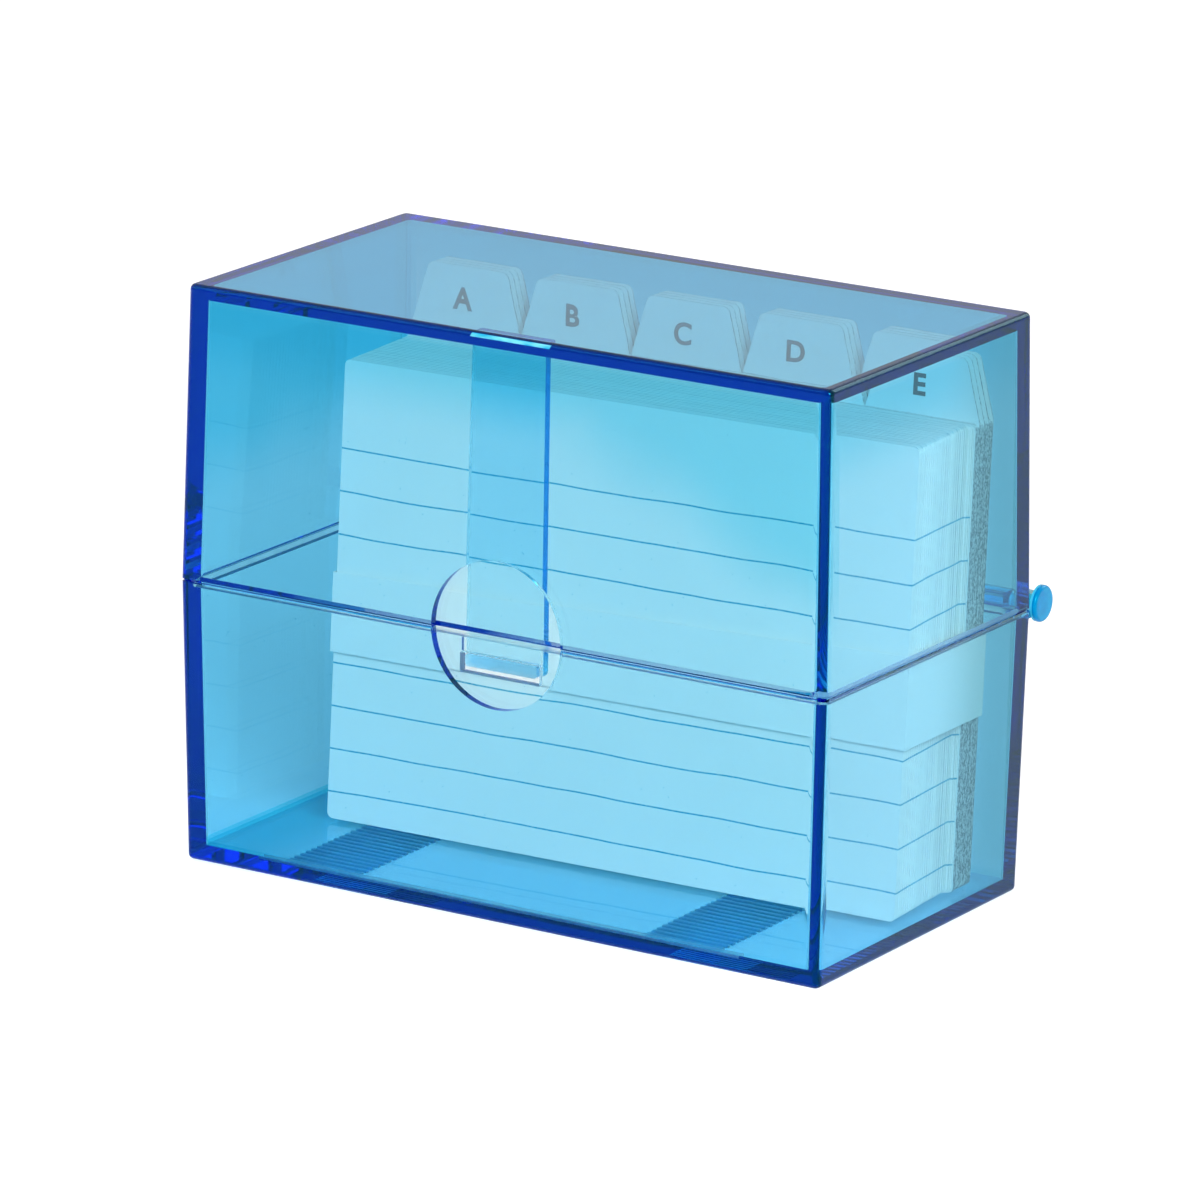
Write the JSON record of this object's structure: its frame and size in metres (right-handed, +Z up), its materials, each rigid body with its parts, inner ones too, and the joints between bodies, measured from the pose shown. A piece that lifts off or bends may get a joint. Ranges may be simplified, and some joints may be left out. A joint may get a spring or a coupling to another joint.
{
  "type": "index card box",
  "caption": "Hinged two-part transparent card box with a press catch, holding a banded pack of ruled cards and lettered tab dividers.",
  "frame": {"origin": "centre of the flat underside, on the surface that the box stands on", "axes": "+Z up, +X to the right along the longest side, the front with the thumb dish faces -Y"},
  "size_m": [0.121, 0.07, 0.0952],
  "materials": {
    "clear_blue": "clear polished",
    "card_paper": "matte, blue ruled",
    "divider_board": "matte grey-white board",
    "band_paper": "matte"
  },
  "bodies": {
    "base": {"base_tray": "clear_blue", "hinge_pin_left": "clear_blue", "hinge_pin_right": "clear_blue"},
    "lid": {"lid_cover": "clear_blue"},
    "catch": {"catch_tongue": "clear_blue"},
    "card_pack": {"record_cards_1": "card_paper", "record_cards_2": "card_paper", "record_cards_3": "card_paper", "record_cards_4": "card_paper", "record_cards_5": "card_paper", "record_cards_6": "card_paper", "record_cards_7": "card_paper", "record_cards_8": "card_paper", "record_cards_9": "card_paper", "record_cards_10": "card_paper", "divider_a": "divider_board", "divider_b": "divider_board", "divider_c": "divider_board", "divider_d": "divider_board", "divider_e": "divider_board", "divider_f": "divider_board", "divider_g": "divider_board", "divider_h": "divider_board", "divider_i": "divider_board", "divider_k": "divider_board", "divider_l": "divider_board", "divider_m": "divider_board", "divider_n": "divider_board", "divider_o": "divider_board", "divider_p": "divider_board", "divider_r": "divider_board", "divider_s": "divider_board", "divider_t": "divider_board", "divider_u": "divider_board", "divider_w": "divider_board", "paper_band": "band_paper"}
  },
  "joints": [
    {"name": "lid_hinge", "type": "hinge", "parent": "base", "child": "lid", "pos_m": [0, 0.0351, 0.04682], "axis": [-1, 0, 0], "range_deg": [0, 170]},
    {"name": "catch_flex", "type": "hinge", "parent": "lid", "child": "catch", "pos_m": [0, -0.02691, 0.09245], "axis": [1, 0, 0], "range_deg": [0, 2.2], "stiffness_Nm_per_rad": 0.56},
    {"name": "pack_slide", "type": "slide", "parent": "base", "child": "card_pack", "axis": [0, -1, 0], "range_m": [-0.0028, 0.0212]}
  ]
}
